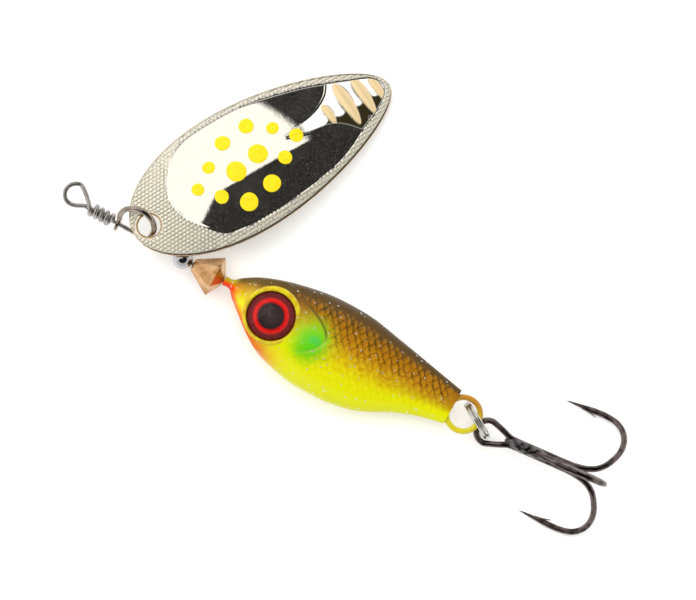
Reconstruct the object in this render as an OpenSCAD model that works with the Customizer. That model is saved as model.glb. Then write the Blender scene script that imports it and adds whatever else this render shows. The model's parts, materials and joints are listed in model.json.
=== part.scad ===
// Inline spinner: a cast fish body on a wire, with a spinning blade, two beads and a treble hook.
// It lies on its left-side-up flank: +X runs from the line eye to the tail, +Y to the fish's back.

/* [Shaft wire] */
// Diameter of the shaft wire
wire_d = 0.64; // [0.5:0.02:0.7]
// Mean radius of the line eye's loop
line_eye_r = 1.5; // [1.2:0.1:1.8]
// Turns that the wire's tail makes round the shaft
wrap_turns = 4; // [3:1:5]
// Bore of everything that turns on the wire
bore_d = 0.8; // [0.74:0.02:0.84]

/* [Clevis] */
// Diameter of the clevis wire
clevis_d = 0.82; // [0.7:0.02:0.84]
// Radius of the clevis bow, to the middle of its wire
bow_r = 2.6; // [2.4:0.1:2.8]
// Height of the bow's centre over the shaft
bow_h = 1.8; // [1.6:0.1:2]
// Lean of the bow from straight up towards the fish's back, in degrees
bow_lean = 46; // [40:1:50]
// Diameter of the flattened ears
ear_d = 2.1; // [1.9:0.1:2.3]
// Thickness of the flattened ears
ear_t = 0.45; // [0.35:0.05:0.5]

/* [Blade] */
// Length of the blade
blade_l = 42; // [40:0.2:43]
// Width of the blade
blade_w = 18.5; // [17:0.1:19]
// Thickness of the blade's sheet
blade_t = 0.5; // [0.4:0.05:0.6]
// Radius of the blade's curve along its length
blade_long_r = 150; // [120:5:200]
// Radius of the blade's curve across its width
blade_cross_r = 40; // [36:1:50]
// Radius of the hole that the clevis goes through
blade_hole_r = 1.6; // [1.5:0.05:1.7]
// Direction of the blade from the shaft, in degrees
blade_yaw = 59.6; // [58:0.2:62]
// Slope of the blade down to its tip, in degrees
blade_pitch = 7.5; // [7:0.1:9]
// Lift of the blade's edge over the bearing ball, in degrees
blade_roll = 8; // [7:0.5:9]

/* [Beads] */
// Diameter of the bearing ball
ball_d = 2.9; // [2.6:0.1:3]
// Width across the corners of the faceted cone bead
cone_d = 6; // [5.6:0.1:6.2]

/* [Fish body] */
// Diameter of the moulded eyes
eye_d = 6.9; // [6.5:0.1:7]
// Height of an eye's clear dome
eye_h = 1.3; // [1:0.1:1.4]
// Width of the raised rim round an eye
rim_w = 0.42; // [0.3:0.02:0.5]

/* [Tail loop and ring] */
// Diameter of the tail loop's wire
loop_d = 0.84; // [0.8:0.02:0.86]
// Mean radius of the tail loop
loop_r = 2.38; // [2.3:0.02:2.4]
// Outer diameter of the split ring
ring_d = 6; // [5.8:0.1:6.2]
// Diameter of each of the split ring's two coils
coil_d = 0.56; // [0.5:0.02:0.58]

/* [Treble hook] */
// Diameter of the hook wire
hook_d = 0.88; // [0.8:0.02:0.9]
// Mean radius of the hook's eye
hook_eye_r = 1.64; // [1.6:0.02:1.7]
// Slope of the hook up from its eye, in degrees
hook_pitch = 7.5; // [6:0.1:8]
// Swing of the hook towards the fish's back, in degrees
hook_yaw = 5; // [3:0.5:6]

/* [Hidden] */
$fn = 48;

// Middle of the whole lure seen from above, measured from the clevis's front ear
middle = [34.97, 13.53];
// Height of the shaft over the table
shaft_z = 4.6;

// Shaft wire, from the line eye's neck to its end inside the fish
wire_r = wire_d / 2;
wire_start = -4.5;
wire_end = 36;
bent_wire_r = wire_r + 0.02;
wrap_start = -4.1;
wrap_pitch = 0.86;
wrap_r = wire_r + bent_wire_r + 0.07;
wrap_step = 30;
line_eye = [-6.95, 0.75, 0];

// Clevis
bow_x = 2.6;
leg_splay = 8;

// Blade, in its own frame: X along it, Z out of its crown
blade_crown = 20;
hole_at = 2.4;
hole_place = [4.3, 1.8, 1.5];
dot_t = 0.08;
// Each enamel dot: place along the blade, place across it, radius
dots = [
    [10.8, 0.7, 0.9], [13.1, -1.9, 1.0], [13.7, 2.6, 0.9], [16.0, -4.5, 1.3],
    [16.7, 0.1, 1.45], [17.2, 4.6, 1.1], [20.1, -3.9, 1.25], [20.6, 0.7, 1.4],
    [21.3, 5.0, 1.1], [23.6, -1.7, 1.0], [24.3, 2.8, 0.9], [26.6, 0.2, 1.0]
];

// Beads
ball_x = 10.55;
cone_front = 12.15;
cone_ridge = 15.75;
cone_back = 16.95;
cone_front_r = 0.85;
cone_back_r = 0.75;

// Fish body: distance along, top, bottom and half thickness of each station
stations = [
    [17.1, 0.80, -0.60, 0.66], [18.2, 0.85, -0.60, 0.70], [19.2, 1.65, -1.60, 1.25],
    [21.2, 2.85, -3.30, 2.25], [23.6, 3.80, -5.20, 3.10], [26.4, 4.60, -6.75, 3.55],
    [30.7, 5.40, -7.90, 3.70], [34.5, 5.60, -8.15, 3.55], [38.3, 5.40, -7.95, 3.10],
    [42.3, 4.65, -7.00, 2.50], [46.5, 3.85, -4.95, 1.95], [50.0, 3.15, -3.65, 1.50],
    [53.6, 2.45, -2.85, 1.20]
];
station_steps = 3;
body_sides = 36;
eye_place = [25.25, -1.1];
socket_floor = 2.95;
foil_t = 0.15;
rim_top = 3.5;
lens_gap = 0.03;

// Tail loop and split ring
loop_place = [55.4, -0.38, 0];
loop_shank_start = 45;
ring_place = [57.55, -0.23, -1.45];
ring_yaw = -30;
coil_r = coil_d / 2;
coil_off = 0.25;

// Treble hook, in its own frame: X along the shank from the eye's centre
hook_place = [59.68, -0.94, -0.75];
hook_r = hook_d / 2;
shank_off = 0.53;
eye_open = 62;
// Centre line of one hook, from its shank to its point: along the shank and out from it
hook_line = [
    [5.0, 0.53], [8.0, 0.53], [11.5, 0.53], [13.4, 0.66], [15.1, 1.1], [16.35, 1.95], [17.3, 3.4],
    [17.95, 5.4], [17.85, 7.25], [17.1, 8.7], [15.8, 9.65], [14.1, 9.98], [12.3, 9.98],
    [10.2, 9.88], [8.1, 9.78]
];
hook_steps = 3;
point_l = 4.2;
point_tip_r = 0.03;
barb_at = [11.4, 9.7];
barb_l = 1.7;
barb_turn = 22;

function unit(v) = v / norm(v);
function tangent(path, i) =
    let (j = min(i, len(path) - 1))
    unit(path[min(j + 1, len(path) - 1)] - path[max(j - 1, 0)]);
// A direction square to each tangent that turns no more than the path does
function sides_of(path, first) = [
    for (i = 0, n = unit(cross(cross(tangent(path, 0), first), tangent(path, 0)));
         i < len(path);
         i = i + 1, n = unit(n - (n * tangent(path, i)) * tangent(path, i))) n
];
// A point of the smooth curve through a list of points, between the i-th and the next
function curve_point(p, i, t) =
    let (
        last = len(p) - 1,
        a = p[max(i - 1, 0)],
        b = p[i],
        c = p[min(i + 1, last)],
        d = p[min(i + 2, last)]
    )
    0.5 * (2 * b + (c - a) * t + (2 * a - 5 * b + 4 * c - d) * t * t
        + (3 * b - a - 3 * c + d) * t * t * t);
function smooth(p, steps) = [
    for (i = [0 : len(p) - 2]) for (k = [0 : steps - 1]) curve_point(p, i, k / steps),
    p[len(p) - 1]
];
function path_length(path, to) = to <= 0 ? 0 : norm(path[to] - path[to - 1]) + path_length(path, to - 1);

// Closes a stack of rings, each a list of the same number of points, into one solid
module skin(rings) {
    n = len(rings[0]);
    last = len(rings) - 1;
    polyhedron(
        points = [for (ring = rings) for (p = ring) p],
        faces = concat(
            [[for (k = [0 : n - 1]) k]],
            [for (i = [0 : last - 1]) for (k = [0 : n - 1])
                [i * n + k, (i + 1) * n + k, i * n + (k + 1) % n]],
            [for (i = [0 : last - 1]) for (k = [0 : n - 1])
                [i * n + (k + 1) % n, (i + 1) * n + k, (i + 1) * n + (k + 1) % n]],
            [[for (k = [n - 1 : -1 : 0]) last * n + k]]
        )
    );
}

// A round tube along a path, with a radius for each of its points
module tube(path, radii, first = [0, 0, 1], sides = 12) {
    n = sides_of(path, first);
    skin([
        for (i = [0 : len(path) - 1])
            let (b = cross(tangent(path, i), n[i]))
            [for (k = [0 : sides - 1])
                path[i] + radii[i] * (cos(k * 360 / sides) * n[i] + sin(k * 360 / sides) * b)]
    ]);
}

module on_shaft() {
    translate([-middle[0], -middle[1], shaft_z]) children();
}

// A cylinder along X from one distance to another
module rod(from, to, r) {
    translate([from, 0, 0]) rotate([0, 90, 0]) cylinder(h = to - from, r = r);
}

// Line eye and wraps: out along the loop's lower side, round it and back over the shaft
eye_line = [
    [wire_start - 0.2, 0, 0],
    [wire_start - 0.7, -0.1, 0],
    for (a = [-70 : -35 : -280]) line_eye + line_eye_r * [cos(a), sin(a), 0],
    [line_eye[0] + 1.95, 0.9, 0.45],
    [wrap_start - 0.3, 0.2, wrap_r]
];
wrap_line = [
    for (a = [0 : wrap_step : wrap_turns * 360])
        [wrap_start + wrap_pitch * a / 360, -wrap_r * sin(a), wrap_r * cos(a)]
];
bent_line = concat(smooth(eye_line, 3), wrap_line);

module shaft_wire() {
    color("silver") on_shaft() {
        rod(wire_start, wire_end, wire_r);
        tube(concat([[wire_start + 0.3, 0, 0]], bent_line), [for (i = [0 : len(bent_line)]) bent_wire_r]);
    }
}

module clevis_ear(x) {
    difference() {
        rod(x - ear_t / 2, x + ear_t / 2, ear_d / 2);
        rod(x - ear_t, x + ear_t, bore_d / 2);
    }
}

// Centre line of the clevis wire: up from one ear, round the bow and down to the other
ear_reach = bow_r * cos(leg_splay) - (bow_h - bow_r * sin(leg_splay)) * tan(leg_splay);
leg_foot = ear_d / 2 - 0.3;
leg_foot_x = ear_reach + leg_foot * tan(leg_splay);
bow_line = concat(
    [[bow_x + leg_foot_x, 0, leg_foot]],
    [for (a = [-leg_splay : 8 : 180 + leg_splay]) [bow_x + bow_r * cos(a), 0, bow_h + bow_r * sin(a)]],
    [[bow_x - leg_foot_x, 0, leg_foot]]
);

module clevis() {
    color("gainsboro") on_shaft() rotate([-bow_lean, 0, 0]) {
        tube(bow_line, [for (p = bow_line) clevis_d / 2], [0, 1, 0]);
        for (side = [-1, 1]) clevis_ear(bow_x + side * ear_reach);
    }
}

// Half width of the blade at a share t of its length: widest a little before the middle
function blade_half(t) =
    blade_w * sqrt(max(t * (1 - t), 0)) * (1 + 0.38 * (0.42 - t) - 0.2 * pow(0.42 - t, 2));
blade_side = [for (a = [0 : 6 : 180]) (1 - cos(a)) / 2];
blade_outline = concat(
    [for (t = blade_side) [t * blade_l, blade_half(t)]],
    [for (i = [len(blade_side) - 2 : -1 : 1]) [blade_side[i] * blade_l, -blade_half(blade_side[i])]]
);

// A sheet of the blade's curvature, from a height below its outer face to a height above it
module blade_sheet(below, above) {
    translate([blade_crown, 0, -blade_long_r]) rotate([90, 0, 0])
        rotate_extrude($fn = 360) translate([blade_long_r - blade_cross_r, 0]) difference() {
            circle(r = blade_cross_r + above, $fn = 180);
            circle(r = blade_cross_r - below, $fn = 180);
        }
}

// From the blade's own frame to where it lies, with the clevis through its hole
module on_blade() {
    on_shaft() translate(hole_place) rotate([-blade_roll, blade_pitch, blade_yaw])
        translate([-hole_at, 0, pow(blade_crown - hole_at, 2) / 2 / blade_long_r + blade_t / 2])
        children();
}

module blade() {
    color("wheat") on_blade() difference() {
        intersection() {
            translate([0, 0, -6]) linear_extrude(7) polygon(blade_outline);
            blade_sheet(blade_t, 0);
        }
        translate([hole_at, 0, -6]) cylinder(h = 7, r = blade_hole_r);
    }
}

module blade_dots() {
    color("yellow") on_blade() intersection() {
        for (dot = dots) translate([dot[0], dot[1], -3]) cylinder(h = 4, r = dot[2]);
        blade_sheet(0, dot_t);
    }
}

module bearing_ball() {
    color("lightgray") on_shaft() translate([ball_x, 0, 0]) rotate([0, 90, 0])
        rotate_extrude() difference() {
            circle(d = ball_d);
            translate([bore_d / 2 - ball_d, -ball_d]) square([ball_d, 2 * ball_d]);
        }
}

// A six-sided section of the cone bead, with corners towards the back and the belly
function hex_ring(x, r) = [for (k = [0 : 5]) [x, r * cos(60 * k), r * sin(60 * k)]];

module cone_bead() {
    color("peru") on_shaft() difference() {
        skin([
            hex_ring(cone_front, cone_front_r),
            hex_ring(cone_ridge, cone_d / 2),
            hex_ring(cone_back, cone_back_r)
        ]);
        rod(cone_front - 1, cone_back + 1, bore_d / 2);
    }
}

// One section of the fish: an oval as high and as thick as its station says
function body_ring(s) = [
    for (k = [0 : body_sides - 1])
        let (a = k * 360 / body_sides)
        [s[0], (s[1] + s[2]) / 2 + (s[1] - s[2]) / 2 * cos(a), s[3] * sin(a)]
];

module eye_socket(side) {
    translate([eye_place[0], eye_place[1], 0]) mirror([0, 0, side < 0 ? 1 : 0])
        translate([0, 0, socket_floor]) cylinder(h = 3, d = eye_d + 2 * lens_gap);
}

module eye_rim(side) {
    translate([eye_place[0], eye_place[1], 0]) mirror([0, 0, side < 0 ? 1 : 0])
        cylinder(h = rim_top, d = eye_d + 2 * rim_w);
}

module fish_body() {
    color("yellowgreen") on_shaft() difference() {
        union() {
            skin([for (s = smooth(stations, station_steps)) body_ring(s)]);
            for (side = [-1, 1]) eye_rim(side);
        }
        for (side = [-1, 1]) eye_socket(side);
        rod(stations[0][0] - 1, wire_end, wire_r);
        tail_loop_shape();
    }
}

module eye_foil(side) {
    color("firebrick") on_shaft() translate([eye_place[0], eye_place[1], 0])
        mirror([0, 0, side < 0 ? 1 : 0]) translate([0, 0, socket_floor])
        cylinder(h = foil_t, d = eye_d);
}

module eye_lens(side) {
    dome_r = (pow(eye_d / 2, 2) + pow(eye_h, 2)) / (2 * eye_h);
    color("red", 0.5) on_shaft() translate([eye_place[0], eye_place[1], 0])
        mirror([0, 0, side < 0 ? 1 : 0]) translate([0, 0, socket_floor + foil_t])
        intersection() {
            translate([0, 0, eye_h - dome_r]) sphere(r = dome_r);
            cylinder(h = eye_h, d = eye_d);
        }
}

module left_eye_foil() {
    eye_foil(1);
}

module right_eye_foil() {
    eye_foil(-1);
}

module left_eye_lens() {
    eye_lens(1);
}

module right_eye_lens() {
    eye_lens(-1);
}

module tail_loop_shape() {
    translate(loop_place) rotate_extrude() translate([loop_r, 0]) circle(d = loop_d);
    translate([0, loop_place[1], 0]) rod(loop_shank_start, loop_place[0] - loop_r, loop_d / 2);
}

module tail_loop() {
    color("gold") on_shaft() tail_loop_shape();
}

module split_ring() {
    color("lightsteelblue") on_shaft() translate(ring_place) rotate([0, 0, ring_yaw])
        rotate([-90, 0, 0]) rotate_extrude($fn = 120) translate([ring_d / 2 - coil_r, 0])
        for (side = [-1, 1]) translate([0, side * coil_off]) circle(r = coil_r);
}

module on_treble() {
    on_shaft() translate(hook_place) rotate([0, -hook_pitch, hook_yaw]) children();
}

// A hook's centre line in space, where turn is its direction round the shank
function hook_path(turn) = [
    for (p = smooth(hook_line, hook_steps)) [p[0], p[1] * cos(turn), p[1] * sin(turn)]
];
// Radii along a hook: full, then tapering to the point over its last stretch
function hook_radii(path) =
    let (whole = path_length(path, len(path) - 1))
    [for (i = [0 : len(path) - 1])
        let (left = whole - path_length(path, i))
        min(hook_r, point_tip_r + (hook_r - point_tip_r) * pow(left / point_l, 0.8))];
function reversed(list) = [for (i = [len(list) - 1 : -1 : 0]) list[i]];

module barb(turn) {
    rotate([turn, 0, 0]) translate([barb_at[0], barb_at[1], 0]) rotate([0, 0, -barb_turn])
        rotate([0, 90, 0]) cylinder(h = barb_l, r1 = 0.3, r2 = point_tip_r, $fn = 8);
}

// The eye's centre line: round its front, then in to where the two shanks start
hook_eye_line = smooth(concat(
    [[4.2, shank_off * cos(30), -shank_off * sin(30)], [3.2, 0.55, -0.15], [2.1, 0.98, 0]],
    [for (a = [eye_open : 29.5 : 360 - eye_open]) hook_eye_r * [cos(a), sin(a), 0]],
    [[2.1, -0.98, 0], [3.2, -0.55, -0.15], [4.2, -shank_off * cos(30), -shank_off * sin(30)]]
), 2);

module treble_double() {
    first = hook_path(-30);
    second = hook_path(210);
    path = concat(reversed(first), hook_eye_line, second);
    radii = concat(reversed(hook_radii(first)), [for (p = hook_eye_line) hook_r], hook_radii(second));
    color("dimgray") on_treble() {
        tube(path, radii);
        barb(-30);
        barb(210);
    }
}

module treble_single() {
    path = hook_path(90);
    color("dimgray") on_treble() {
        tube(path, hook_radii(path));
        barb(90);
    }
}

shaft_wire();
clevis();
blade();
blade_dots();
bearing_ball();
cone_bead();
fish_body();
left_eye_foil();
left_eye_lens();
right_eye_foil();
right_eye_lens();
tail_loop();
split_ring();
treble_double();
treble_single();
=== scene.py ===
"""Looks of the inline spinner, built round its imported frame. Lengths are in millimetres until a mesh is made."""
import json
import math

import bmesh
import bpy
import numpy as np
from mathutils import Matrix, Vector


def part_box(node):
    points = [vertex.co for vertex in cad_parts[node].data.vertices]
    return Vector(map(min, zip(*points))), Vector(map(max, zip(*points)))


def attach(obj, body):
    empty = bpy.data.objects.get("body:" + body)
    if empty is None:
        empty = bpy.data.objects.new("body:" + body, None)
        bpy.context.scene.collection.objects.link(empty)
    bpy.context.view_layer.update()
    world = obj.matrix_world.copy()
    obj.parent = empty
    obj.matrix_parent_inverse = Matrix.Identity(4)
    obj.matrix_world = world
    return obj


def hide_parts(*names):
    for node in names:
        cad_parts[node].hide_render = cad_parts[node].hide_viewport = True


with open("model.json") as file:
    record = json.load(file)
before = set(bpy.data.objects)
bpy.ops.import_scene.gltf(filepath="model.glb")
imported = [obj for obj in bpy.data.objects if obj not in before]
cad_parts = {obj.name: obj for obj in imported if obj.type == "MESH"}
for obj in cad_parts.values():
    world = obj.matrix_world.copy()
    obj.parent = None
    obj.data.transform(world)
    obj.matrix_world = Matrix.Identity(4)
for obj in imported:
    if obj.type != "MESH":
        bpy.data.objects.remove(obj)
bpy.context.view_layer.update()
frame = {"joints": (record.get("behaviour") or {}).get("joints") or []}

MM = 0.001
joints = {j["name"]: j for j in frame["joints"]}

# The lure's own frame: X along the shaft, Y to the fish's back, Z up, from the clevis's front ear
BOW_X = 2.6
ORIGIN = np.array(joints["clevis_spin"]["pos_m"]) / MM - [BOW_X, 0, 0]
rng = np.random.default_rng(7)


# ---------------------------------------------------------------- shapes

def unit(v):
    v = np.asarray(v, float)
    return v / np.linalg.norm(v, axis=-1, keepdims=True)


def turn(axis, degrees):
    """The matrix that turns a column vector about X, Y or Z."""
    c, s = math.cos(math.radians(degrees)), math.sin(math.radians(degrees))
    return np.array({
        "x": [[1, 0, 0], [0, c, -s], [0, s, c]],
        "y": [[c, 0, s], [0, 1, 0], [-s, 0, c]],
        "z": [[c, -s, 0], [s, c, 0], [0, 0, 1]],
    }[axis])


def curve(points, steps, closed=False):
    """A smooth curve through the points."""
    p = np.asarray(points, float)
    n = len(p)
    out = []
    for i in range(n if closed else n - 1):
        if closed:
            a, b, c, d = p[i - 1], p[i], p[(i + 1) % n], p[(i + 2) % n]
        else:
            a, b, c, d = p[max(i - 1, 0)], p[i], p[i + 1], p[min(i + 2, n - 1)]
        for t in np.arange(steps) / steps:
            out.append(0.5 * (2 * b + (c - a) * t + (2 * a - 5 * b + 4 * c - d) * t**2
                              + (3 * b - a - 3 * c + d) * t**3))
    if not closed:
        out.append(p[-1])
    return np.array(out)


def frames(path, first):
    """Tangents and two side directions along a path that turn no more than it does."""
    t = unit(np.gradient(path, axis=0))
    n = np.zeros_like(t)
    n[0] = unit(np.cross(np.cross(t[0], first), t[0]))
    for i in range(1, len(path)):
        n[i] = unit(n[i - 1] - (n[i - 1] @ t[i]) * t[i])
    return t, n, np.cross(t, n)


def grid_faces(rows, cols, closed=False, start=0):
    """Quads between rows of points; closed joins each row's last point to its first."""
    i, j = np.meshgrid(np.arange(rows - 1), np.arange(cols if closed else cols - 1), indexing="ij")
    k = (j + 1) % cols
    f = np.stack([i * cols + j, i * cols + k, (i + 1) * cols + k, (i + 1) * cols + j], -1)
    return (f.reshape(-1, 4) + start).tolist()


def spokes(sides):
    """Evenly spaced angles round a full turn."""
    return np.arange(sides) * 2 * math.pi / sides


def end_faces(rows, cols):
    """The two faces that close a tube's ends."""
    return [list(range(cols))[::-1], [(rows - 1) * cols + k for k in range(cols)]]


def seam_faces(rows, cols):
    """Quads from the last ring of points back to the first."""
    last = (rows - 1) * cols
    return [[last + k, last + (k + 1) % cols, (k + 1) % cols, k] for k in range(cols)]


def tube(path, across, along=None, sides=24, first=(0, 0, 1), ends=(0.5, 0.5)):
    """A tube with an oval section, across and along being its half widths."""
    path = np.asarray(path, float)
    across = np.broadcast_to(np.asarray(across, float), len(path))
    along = across if along is None else np.broadcast_to(np.asarray(along, float), len(path))
    t, n, b = frames(path, first)
    a = spokes(sides)

    def ring(i, push, scale):
        c = path[i] + t[i] * push
        return c + scale * (across[i] * np.cos(a)[:, None] * n[i] + along[i] * np.sin(a)[:, None] * b[i])

    dome = np.radians([82, 60, 38, 18])
    rings = [ring(0, -ends[0] * min(across[0], along[0]) * math.sin(d), math.cos(d)) for d in dome]
    rings += [ring(i, 0, 1) for i in range(len(path))]
    rings += [ring(-1, ends[1] * min(across[-1], along[-1]) * math.sin(d), math.cos(d)) for d in dome[::-1]]
    return np.concatenate(rings), grid_faces(len(rings), sides, True) + end_faces(len(rings), sides)


def closed_tube(path, r, sides=24):
    """A round tube whose path ends where it began."""
    t = unit(np.roll(path, -1, 0) - np.roll(path, 1, 0))
    side = unit(np.cross(np.cross(t, (0, 0, 1)), t))
    other = np.cross(t, side)
    q = spokes(sides)[:, None]
    v = np.concatenate([c + r * np.cos(q) * n + r * np.sin(q) * b for c, n, b in zip(path, side, other)])
    return v, grid_faces(len(path), sides, True) + seam_faces(len(path), sides)


def revolve(profile, sides=96):
    """A ring with a bore: a closed profile of (x, r), turned about the X axis."""
    p = np.asarray(profile, float)
    x, r = np.repeat(p, sides, 0).T
    a = np.tile(spokes(sides), len(p))
    v = np.stack([x, r * np.cos(a), r * np.sin(a)], 1)
    return v, grid_faces(len(p), sides, True) + seam_faces(len(p), sides)


def rounded(points, r, steps=4):
    """A closed outline with each corner rounded."""
    p = np.asarray(points, float)
    out = []
    for i in range(len(p)):
        a, b, c = p[i - 1], p[i], p[(i + 1) % len(p)]
        reach = min(r, 0.45 * np.linalg.norm(a - b), 0.45 * np.linalg.norm(c - b))
        u, w = b + unit(a - b) * reach, b + unit(c - b) * reach
        for t in np.linspace(0, 1, steps + 1):
            out.append((1 - t) ** 2 * u + 2 * t * (1 - t) * b + t * t * w)
    return np.array(out)


def join(*parts):
    """Several (points, faces) as one."""
    v, f, n = [], [], 0
    for pv, pf in parts:
        v.append(pv)
        f += [[k + n for k in face] for face in pf]
        n += len(pv)
    return np.concatenate(v), f


def show(name, data):
    obj = bpy.data.objects.new(name, data)
    bpy.context.scene.collection.objects.link(obj)
    return obj


def piece(name, shape, material, body, nodes=(), values=None, sharp=None):
    """A mesh in the lure's frame that rides on a body and may stand for CAD nodes."""
    v, f = shape
    mesh = bpy.data.meshes.new(name)
    mesh.from_pydata(((np.asarray(v) + ORIGIN) * MM).tolist(), [], f)
    mesh.validate()
    work = bmesh.new()
    work.from_mesh(mesh)
    bmesh.ops.recalc_face_normals(work, faces=work.faces)
    work.to_mesh(mesh)
    work.free()
    for key, data in (values or {}).items():
        made = mesh.attributes.new(key, "FLOAT_VECTOR", "POINT")
        made.data.foreach_set("vector", np.asarray(data, np.float32).ravel())
    mesh.shade_smooth()
    if sharp:
        mesh.set_sharp_from_angle(angle=math.radians(sharp))
    mesh.materials.append(material)
    obj = show(name, mesh)
    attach(obj, body)
    if nodes:
        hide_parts(*nodes)
    return obj


def step(x, low, high):
    """0 below low, 1 above high, smooth between."""
    t = np.clip((np.asarray(x, float) - low) / (high - low), 0, 1)
    return t * t * (3 - 2 * t)


def line_distance(p, line, closed=False):
    """Distance from each 2-D point to a line of points, and whether it lies left of the line."""
    a = np.asarray(line, float)
    b = np.roll(a, -1, 0) if closed else a[1:]
    a = a if closed else a[:-1]
    best = np.full(len(p), 1e9)
    side = np.zeros(len(p), bool)
    for u, w in zip(a, b):
        d = w - u
        t = np.clip((p - u) @ d / max(d @ d, 1e-12), 0, 1)
        r = p - u - t[:, None] * d
        dist = np.hypot(r[:, 0], r[:, 1])
        near = dist < best
        best = np.where(near, dist, best)
        side = np.where(near, d[0] * (p[:, 1] - u[1]) - d[1] * (p[:, 0] - u[0]) > 0, side)
    return best, side


def inside(p, polygon):
    """Whether each 2-D point is inside the polygon."""
    hit = np.zeros(len(p), bool)
    a = np.asarray(polygon, float)
    for u, w in zip(a, np.roll(a, -1, 0)):
        cross = (u[1] > p[:, 1]) != (w[1] > p[:, 1])
        at = (w[0] - u[0]) * (p[:, 1] - u[1]) / (w[1] - u[1] if w[1] != u[1] else 1e-9) + u[0]
        hit ^= cross & (p[:, 0] < at)
    return hit


# ---------------------------------------------------------------- materials

def linear(hex_colour):
    """A colour written as it looks on a screen, as the shader wants it."""
    c = np.array([int(hex_colour[i:i + 2], 16) for i in (0, 2, 4)]) / 255
    return tuple(np.where(c <= 0.04045, c / 12.92, ((c + 0.055) / 1.055) ** 2.4)) + (1.0,)


class Nodes:
    """A material's node tree, built by calls that return sockets."""

    def __init__(self, name, **fixed):
        self.material = bpy.data.materials.new(name)
        self.material.use_nodes = True
        self.tree = self.material.node_tree
        self.shader = self.tree.nodes["Principled BSDF"]
        for key, value in fixed.items():
            self.shader.inputs[key.replace("_", " ")].default_value = value

    def new(self, kind, **settings):
        node = self.tree.nodes.new("ShaderNode" + kind)
        for key, value in settings.items():
            setattr(node, key, value)
        return node

    def put(self, socket, value):
        if isinstance(value, bpy.types.NodeSocket):
            self.tree.links.new(value, socket)
        elif value is not None:
            socket.default_value = value

    def set(self, **inputs):
        for key, value in inputs.items():
            self.put(self.shader.inputs[key.replace("_", " ")], value)

    def add(self, kind, out=0, settings=None, **inputs):
        """A new node's output number out."""
        node = self.new(kind, **(settings or {}))
        for key, value in inputs.items():
            self.put(node.inputs[key.replace("_", " ")], value)
        return node.outputs[out]

    def math(self, op, a, b=None, c=None):
        node = self.new("Math", operation=op)
        for socket, value in zip(node.inputs, (a, b, c)):
            self.put(socket, value)
        return node.outputs[0]

    def plus(self, a, b):
        return self.math("ADD", a, b)

    def mul(self, a, b):
        return self.math("MULTIPLY", a, b)

    def scale_add(self, x, by, plus):
        return self.math("MULTIPLY_ADD", x, by, plus)

    def flip(self, x):
        """One minus x."""
        return self.math("SUBTRACT", 1.0, x)

    def length(self, x, y):
        return self.math("SQRT", self.plus(self.mul(x, x), self.mul(y, y)))

    def split(self, vector):
        node = self.new("SeparateXYZ")
        self.put(node.inputs[0], vector)
        return tuple(node.outputs)

    def where(self):
        """Place on the piece in metres."""
        return self.add("TexCoord", out=3)

    def value(self, name):
        """What the mesh stores at each of its points."""
        return self.new("Attribute", attribute_name=name).outputs["Vector"]

    def band(self, x, low, high):
        """0 below low, 1 above high, smooth between."""
        return self.add("MapRange", 0, {"interpolation_type": "SMOOTHSTEP"}, Value=x, From_Min=low, From_Max=high)

    def until(self, x, low, high):
        """1 below low, 0 above high, smooth between."""
        return self.flip(self.band(x, low, high))

    def scaled(self, x, low, high):
        """From low to high as x goes from 0 to 1."""
        return self.add("MapRange", Value=x, To_Min=low, To_Max=high)

    def noise(self, vector, scale, detail=4.0, rough=0.55, stretch=None):
        if stretch:
            node = self.new("Mapping")
            self.put(node.inputs["Vector"], vector)
            node.inputs["Scale"].default_value = stretch
            vector = node.outputs[0]
        return self.add("TexNoise", Vector=vector, Scale=scale, Detail=detail, Roughness=rough)

    def ramp(self, x, stops):
        node = self.new("ValToRGB")
        self.put(node.inputs[0], x)
        marks = node.color_ramp.elements
        while len(marks) < len(stops):
            marks.new(0.5)
        for mark, (at, colour) in zip(marks, stops):
            mark.position = at
            mark.color = linear(colour) if isinstance(colour, str) else (*colour, 1)
        return node.outputs[0]

    def mix(self, x, a, b, kind="MIX"):
        node = self.new("Mix", data_type="RGBA", blend_type=kind)
        self.put(node.inputs[0], x)
        self.put(node.inputs[6], linear(a) if isinstance(a, str) else a)
        self.put(node.inputs[7], linear(b) if isinstance(b, str) else b)
        return node.outputs[2]

    def bump(self, height, strength, distance):
        return self.add("Bump", Strength=strength, Distance=distance * MM, Height=height)


def metal(name, light, dark, rough=(0.1, 0.25), grain=None, bump=0.15, dirt=0.35):
    """Plated or drawn metal: tone and gloss that vary, fine grain, and a darker film in patches."""
    m = Nodes(name, Metallic=1.0)
    at = m.where()
    cloud = m.noise(at, 900, 5)
    fine = m.noise(at, 9000, 3, stretch=grain) if grain else m.noise(at, 7000, 3)
    film = m.band(cloud, 0.42, 0.68)
    tone = m.mix(m.mul(film, dirt), light, dark)
    m.set(Base_Color=m.mix(m.scaled(fine, 0.0, 0.25), tone, dark),
          Roughness=m.scale_add(fine, rough[1] - rough[0], rough[0]),
          Normal=m.bump(fine, bump, 0.01))
    return m.material


steel = metal("drawn_steel", "bcb8b4", "5c5854", (0.18, 0.34), grain=(0.15, 1, 1), dirt=0.5)
nickel = metal("clevis_nickel", "b0a498", "4c4034", (0.06, 0.16), dirt=0.5)
chrome = metal("ball_chrome", "bcbcc0", "8c8c92", (0.02, 0.06), bump=0.04, dirt=0.25)
ring_metal = metal("ring_steel", "dcdad4", "8a8680", (0.14, 0.3), dirt=0.4)
black = metal("black_nickel", "766b68", "161518", (0.04, 0.12), bump=0.08, dirt=0.8)
braze_metal = metal("braze", "6a6668", "08080a", (0.06, 0.25), bump=0.5, dirt=0.85)

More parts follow.
